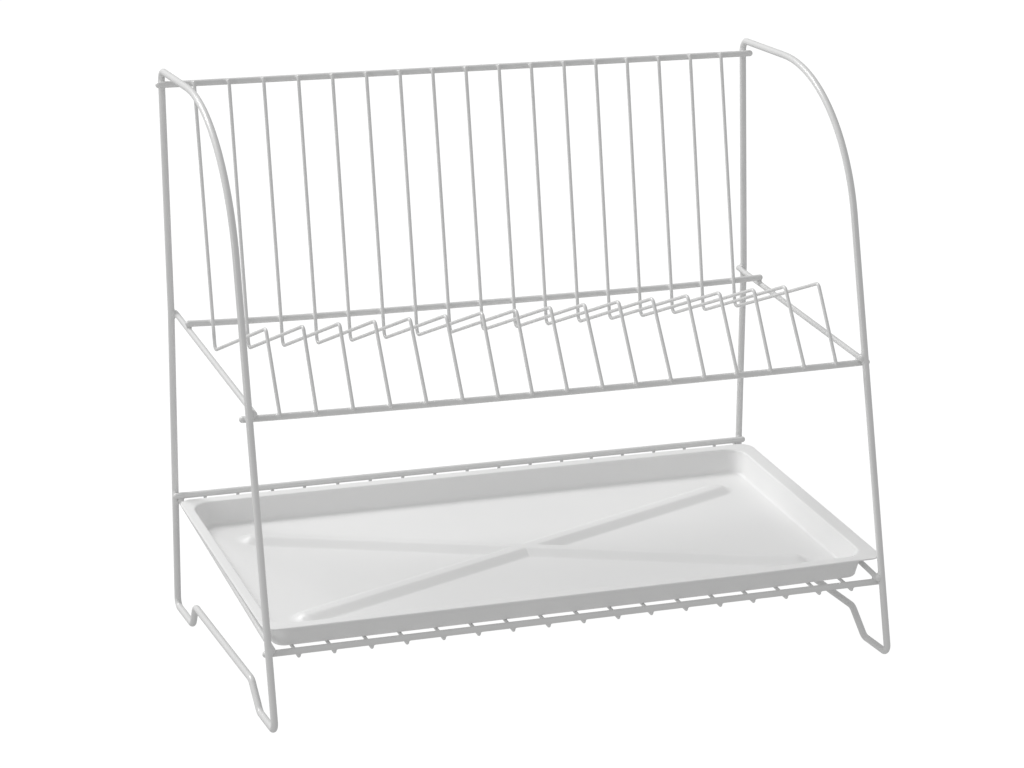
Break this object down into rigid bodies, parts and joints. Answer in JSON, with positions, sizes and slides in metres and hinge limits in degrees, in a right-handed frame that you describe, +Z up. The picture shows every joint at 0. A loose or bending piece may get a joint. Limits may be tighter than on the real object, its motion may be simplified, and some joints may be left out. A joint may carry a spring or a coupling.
{
  "type": "dish drainer",
  "caption": "Two-tier coated wire dish drainer: a leaning plate rack above a loose moulded drip tray, between two closed side frames.",
  "frame": {"origin": "on the ground, midway between the side frames and midway between the foremost and rearmost points", "axes": "+X to the right seen from the front, +Y to the back where the plate wires lean, +Z up"},
  "size_m": [0.492, 0.2964, 0.427],
  "materials": {
    "coated_wire": "satin white plastic coating over steel wire",
    "moulded_plastic": "smooth semi-gloss white plastic"
  },
  "bodies": {
    "rack": {"drip_shelf_back_bar": "coated_wire", "drip_shelf_front_bar": "coated_wire", "drip_shelf_side_bar_left": "coated_wire", "drip_shelf_side_bar_right": "coated_wire", "drip_wire_01": "coated_wire", "drip_wire_02": "coated_wire", "drip_wire_03": "coated_wire", "drip_wire_04": "coated_wire", "drip_wire_05": "coated_wire", "drip_wire_06": "coated_wire", "drip_wire_07": "coated_wire", "drip_wire_08": "coated_wire", "drip_wire_09": "coated_wire", "drip_wire_10": "coated_wire", "drip_wire_11": "coated_wire", "drip_wire_12": "coated_wire", "drip_wire_13": "coated_wire", "drip_wire_14": "coated_wire", "drip_wire_15": "coated_wire", "drip_wire_16": "coated_wire", "drip_wire_17": "coated_wire", "plate_shelf_back_bar": "coated_wire", "plate_shelf_front_bar": "coated_wire", "plate_shelf_side_bar_left": "coated_wire", "plate_shelf_side_bar_right": "coated_wire", "plate_wire_01": "coated_wire", "plate_wire_02": "coated_wire", "plate_wire_03": "coated_wire", "plate_wire_04": "coated_wire", "plate_wire_05": "coated_wire", "plate_wire_06": "coated_wire", "plate_wire_07": "coated_wire", "plate_wire_08": "coated_wire", "plate_wire_09": "coated_wire", "plate_wire_10": "coated_wire", "plate_wire_11": "coated_wire", "plate_wire_12": "coated_wire", "plate_wire_13": "coated_wire", "plate_wire_14": "coated_wire", "plate_wire_15": "coated_wire", "plate_wire_16": "coated_wire", "plate_wire_17": "coated_wire", "side_frame_left": "coated_wire", "side_frame_right": "coated_wire", "top_back_bar": "coated_wire"},
    "drip_tray": {"drip_tray": "moulded_plastic"}
  },
  "joints": [
    {"name": "tray_lift", "type": "slide", "parent": "rack", "child": "drip_tray", "axis": [0, 0.2519, 0.9677], "range_m": [0, 0.028]}
  ]
}
